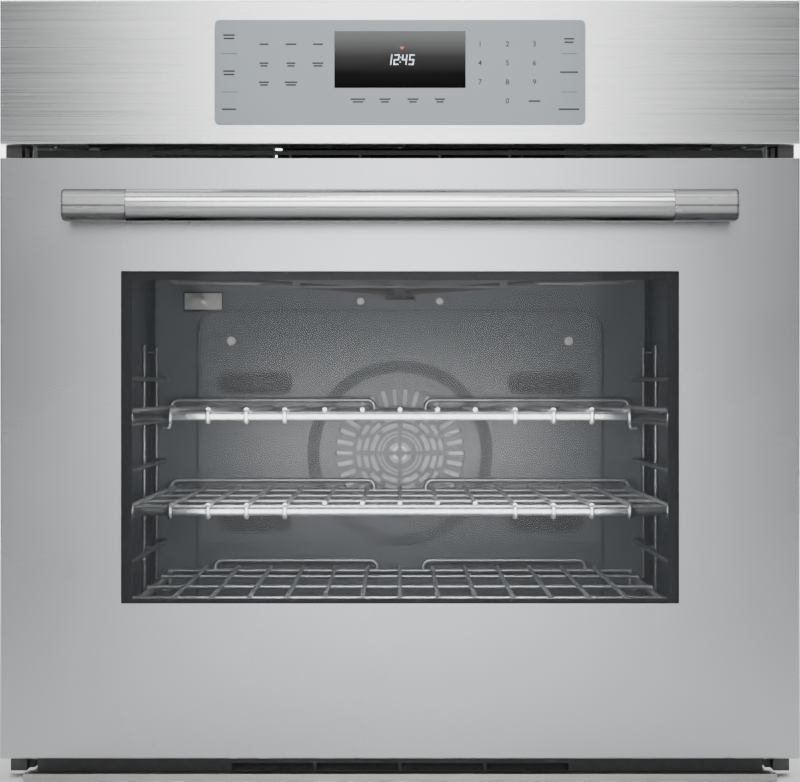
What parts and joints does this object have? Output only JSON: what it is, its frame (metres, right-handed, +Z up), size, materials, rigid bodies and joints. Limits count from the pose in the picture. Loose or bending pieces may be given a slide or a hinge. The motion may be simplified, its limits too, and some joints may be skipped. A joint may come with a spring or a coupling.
{
  "type": "wall oven",
  "caption": "Built-in single wall oven with a stainless drop-down door, window, bar handle, touch control panel and wire racks in an enamelled convection cavity.",
  "frame": {"origin": "middle of the footprint, on the surface the oven stands on", "axes": "+X to the right seen from the front, +Y towards the rear, +Z up"},
  "size_m": [0.7556, 0.6492, 0.7382],
  "materials": {
    "steel_brushed": "horizontally brushed stainless",
    "steel_smooth": "smooth satin stainless",
    "steel_polished": "polished",
    "steel_satin_bar": "bright satin",
    "galvanised": "galvanised sheet",
    "trim_grey": "satin grey",
    "trim_light": "satin",
    "black_trim": "matte black",
    "enamel": "blue-grey vitreous enamel",
    "wire_chrome": "nickel-plated wire",
    "element": "oxidised heating sheath",
    "touch_glass": "blue-grey back-printed glass",
    "display_glass": "black glass",
    "clear_glass": "grey tinted heat-resisting glass",
    "inner_glass": "clear heat-resisting glass",
    "gasket": "woven fibre glass",
    "insulation": "mineral wool",
    "board_green": "solder mask",
    "motor_grey": "satin",
    "zinc": "zinc plated",
    "spring_steel": "oiled spring steel",
    "black_plastic": "moulded",
    "lamp_glass": "ribbed lens"
  },
  "bodies": {
    "casing": {"side_panels": "galvanised", "rear_panel": "galvanised", "top_panel": "galvanised", "base_pan": "galvanised", "mounting_flanges": "trim_grey", "side_trim_rails": "trim_grey", "front_frame": "enamel", "vent_trims": "trim_grey", "bottom_trim": "trim_light", "casing_screws": "zinc", "insulation_blanket": "insulation", "cavity_liner": "enamel", "cavity_rear_wall": "enamel", "fan_cover": "enamel", "fan_cover_screws": "zinc", "convection_element": "element", "broil_element": "element", "bake_element": "element", "rack_guides": "wire_chrome", "temperature_sensor": "zinc", "cavity_lamps": "zinc", "lamp_lenses": "lamp_glass", "door_gasket": "gasket", "control_fascia": "steel_brushed", "control_glass": "touch_glass", "display_window": "display_glass", "circuit_boards": "board_green", "control_bracket": "galvanised", "intake_grille": "black_trim", "electronics_tray": "galvanised", "blower_housing": "motor_grey", "blower_motor": "motor_grey", "fan_motor": "motor_grey", "latch_motor": "motor_grey", "door_switch_body": "black_plastic", "hinge_bodies": "zinc", "hinge_pins": "spring_steel", "hinge_springs": "spring_steel", "junction_box": "galvanised", "conduit_gland": "zinc"},
    "door": {"hinge_arms": "zinc", "door_outer_skin": "steel_smooth", "door_outer_glass": "clear_glass", "door_middle_glass": "inner_glass", "door_inner_glass": "inner_glass", "glass_brackets": "galvanised", "door_frame": "galvanised", "door_inner_panel": "enamel", "door_insulation": "insulation", "handle_bar": "steel_satin_bar", "handle_ends": "steel_polished", "handle_screws": "zinc"},
    "top_rack": {"top_rack": "wire_chrome"},
    "middle_rack": {"middle_rack": "wire_chrome"},
    "bottom_rack": {"bottom_rack": "wire_chrome"},
    "pull_rods": {"hinge_rods": "zinc"},
    "latch": {"latch_hook": "zinc"},
    "switch_plunger": {"door_switch_plunger": "black_plastic"},
    "convection_fan": {"convection_fan_wheel": "galvanised"},
    "cooling_blower": {"blower_wheel": "galvanised"}
  },
  "joints": [
    {"name": "door_hinge", "type": "hinge", "parent": "casing", "child": "door", "pos_m": [0, -0.23337, 0.041], "axis": [1, 0, 0], "range_deg": [0, 90], "stiffness_Nm_per_rad": 20, "springref_deg": -108.86},
    {"name": "top_rack_slide", "type": "slide", "parent": "casing", "child": "top_rack", "axis": [0, -1, 0], "range_m": [0, 0.25]},
    {"name": "middle_rack_slide", "type": "slide", "parent": "casing", "child": "middle_rack", "axis": [0, -1, 0], "range_m": [0, 0.25]},
    {"name": "bottom_rack_slide", "type": "slide", "parent": "casing", "child": "bottom_rack", "axis": [0, -1, 0], "range_m": [0, 0.25]},
    {"name": "pull_rod_slide", "type": "slide", "parent": "casing", "child": "pull_rods", "axis": [0, -1, 0], "range_m": [0, 0.0283], "deforming": ["hinge_springs"]},
    {"name": "door_switch_slide", "type": "slide", "parent": "casing", "child": "switch_plunger", "axis": [0, -1, 0], "range_m": [0, 0.005]},
    {"name": "latch_turn", "type": "hinge", "parent": "casing", "child": "latch", "pos_m": [-0.016, -0.19837, 0.56], "axis": [0, 0, -1], "range_deg": [0, 90]},
    {"name": "convection_fan_spin", "type": "hinge", "parent": "casing", "child": "convection_fan", "pos_m": [0, 0.26663, 0.2964], "axis": [0, 1, 0], "continuous": true},
    {"name": "cooling_blower_spin", "type": "hinge", "parent": "casing", "child": "cooling_blower", "pos_m": [0, 0.00162, 0.63], "axis": [1, 0, 0], "continuous": true}
  ],
  "couplings": [
    {"joint": "top_rack_slide", "follows": "door_hinge", "m_per_rad": 0.15915},
    {"joint": "middle_rack_slide", "follows": "door_hinge", "m_per_rad": 0.15915},
    {"joint": "bottom_rack_slide", "follows": "door_hinge", "m_per_rad": 0.15915},
    {"joint": "pull_rod_slide", "follows": "door_hinge", "m_per_rad": 0.018},
    {"joint": "door_switch_slide", "follows": "door_hinge", "m_per_rad": 0.00318}
  ]
}
